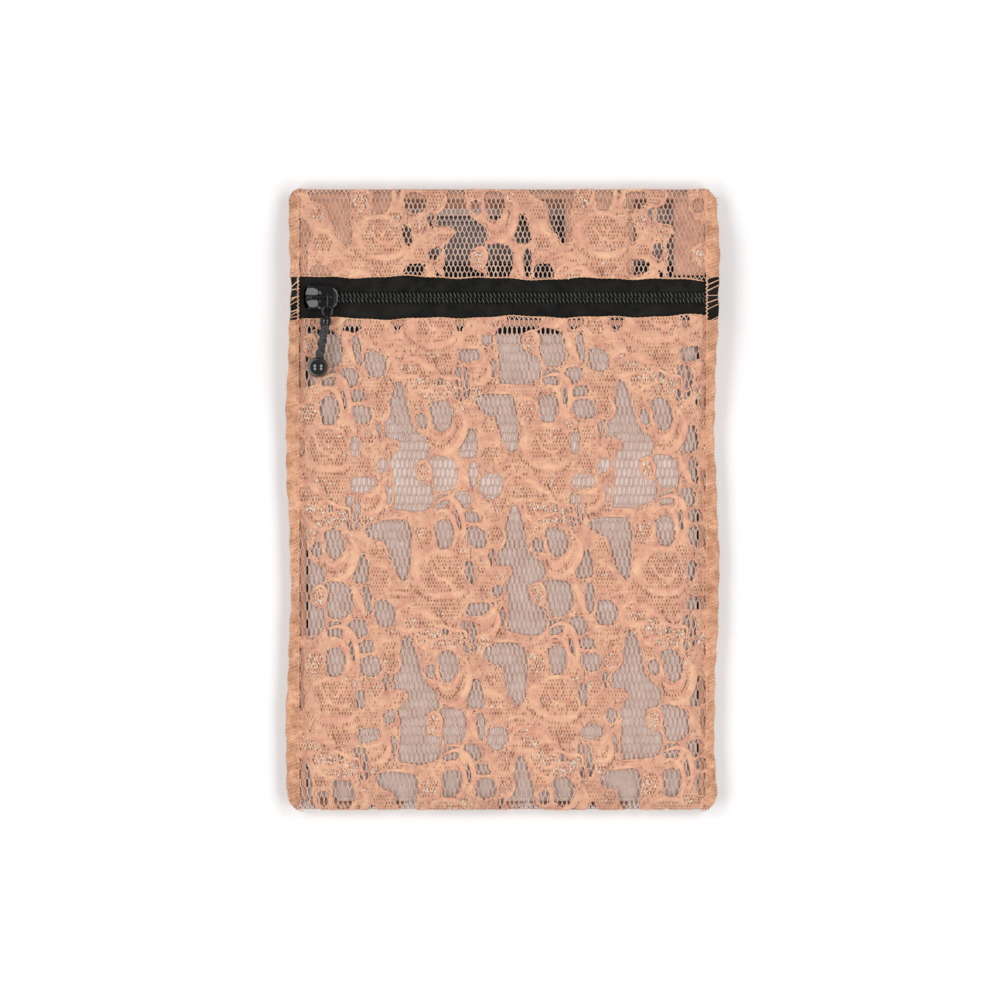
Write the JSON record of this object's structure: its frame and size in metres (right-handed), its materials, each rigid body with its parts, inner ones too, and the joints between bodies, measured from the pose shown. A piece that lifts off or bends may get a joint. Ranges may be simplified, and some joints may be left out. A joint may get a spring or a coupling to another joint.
{
  "type": "insulin cooling case",
  "caption": "Flat lace zip pouch round a gel-filled cooling liner for insulin pens, with a zip across the front and a ball-ended puller.",
  "frame": {"origin": "centre of the case's outline, on the surface that the back lies on", "axes": "+X along the zip towards its open end, +Y towards the top fold, +Z out of the front"},
  "size_m": [0.1316, 0.19, 0.0174],
  "materials": {
    "lace": "openwork floral lace with a matte ground and a fine metallic thread in the flowers",
    "overlock_thread": "overlocked thread, soft sheen",
    "zip_tape": "matte woven tape",
    "zip_teeth": "satin coil",
    "slider_metal": "glossy black enamel",
    "pull_cord": "rope-like, satin",
    "pull_gloss": "high gloss",
    "liner_fabric": "close woven, matte",
    "cooling_gel": "soft gel",
    "liner_edging": "matte woven binding",
    "blank_patch": "matte woven, plain"
  },
  "bodies": {
    "pouch": {"lace_back_panel": "lace", "lace_front_panel": "lace", "lace_band_left": "lace", "lace_band_right": "lace", "side_seam_left": "overlock_thread", "side_seam_right": "overlock_thread", "zip_tape_lower": "zip_tape", "zip_tape_upper_left": "zip_tape", "zip_tape_upper_right": "zip_tape", "zip_teeth_lower": "zip_teeth", "zip_teeth_upper_left": "zip_teeth", "zip_teeth_upper_right": "zip_teeth", "liner_front_outer": "liner_fabric", "liner_front_inner": "liner_fabric", "liner_back_outer": "liner_fabric", "liner_back_inner": "liner_fabric", "gel_cell_front_1": "cooling_gel", "gel_cell_back_1": "cooling_gel", "gel_cell_front_2": "cooling_gel", "gel_cell_back_2": "cooling_gel", "gel_cell_front_3": "cooling_gel", "gel_cell_back_3": "cooling_gel", "gel_cell_front_4": "cooling_gel", "gel_cell_back_4": "cooling_gel", "gel_cell_front_5": "cooling_gel", "gel_cell_back_5": "cooling_gel", "liner_binding_left": "liner_edging", "liner_binding_right": "liner_edging", "liner_binding_bottom": "liner_edging", "liner_mouth_hem": "liner_edging", "liner_top_hem": "liner_edging", "liner_blank_patch": "blank_patch"},
    "slider": {"slider_body": "slider_metal"},
    "link": {"pull_link": "slider_metal"},
    "puller": {"pull_eye": "slider_metal", "pull_stem": "pull_cord", "pull_ball": "pull_gloss"},
    "mouth_flap": {"lace_band_middle": "lace", "zip_tape_upper_middle": "zip_tape", "zip_teeth_upper_middle": "zip_teeth"}
  },
  "joints": [
    {"name": "slider_travel", "type": "slide", "parent": "pouch", "child": "slider", "axis": [1, 0, 0], "range_m": [0, 0.11], "deforming": ["zip_teeth_lower", "zip_teeth_upper_left", "zip_teeth_upper_middle", "zip_teeth_upper_right"]},
    {"name": "link_swing", "type": "hinge", "parent": "slider", "child": "link", "pos_m": [-0.053, 0.0613, 0.0135], "axis": [-1, 0, 0], "range_deg": [0, 165]},
    {"name": "puller_swing", "type": "hinge", "parent": "link", "child": "puller", "pos_m": [-0.053, 0.05765, 0.01363], "axis": [0, 0.0343, 0.9994], "range_deg": [-25, 44]},
    {"name": "mouth_open", "type": "hinge", "parent": "pouch", "child": "mouth_flap", "pos_m": [0, 0.0936, 0.005], "axis": [-1, 0, 0], "range_deg": [0, 55]}
  ]
}
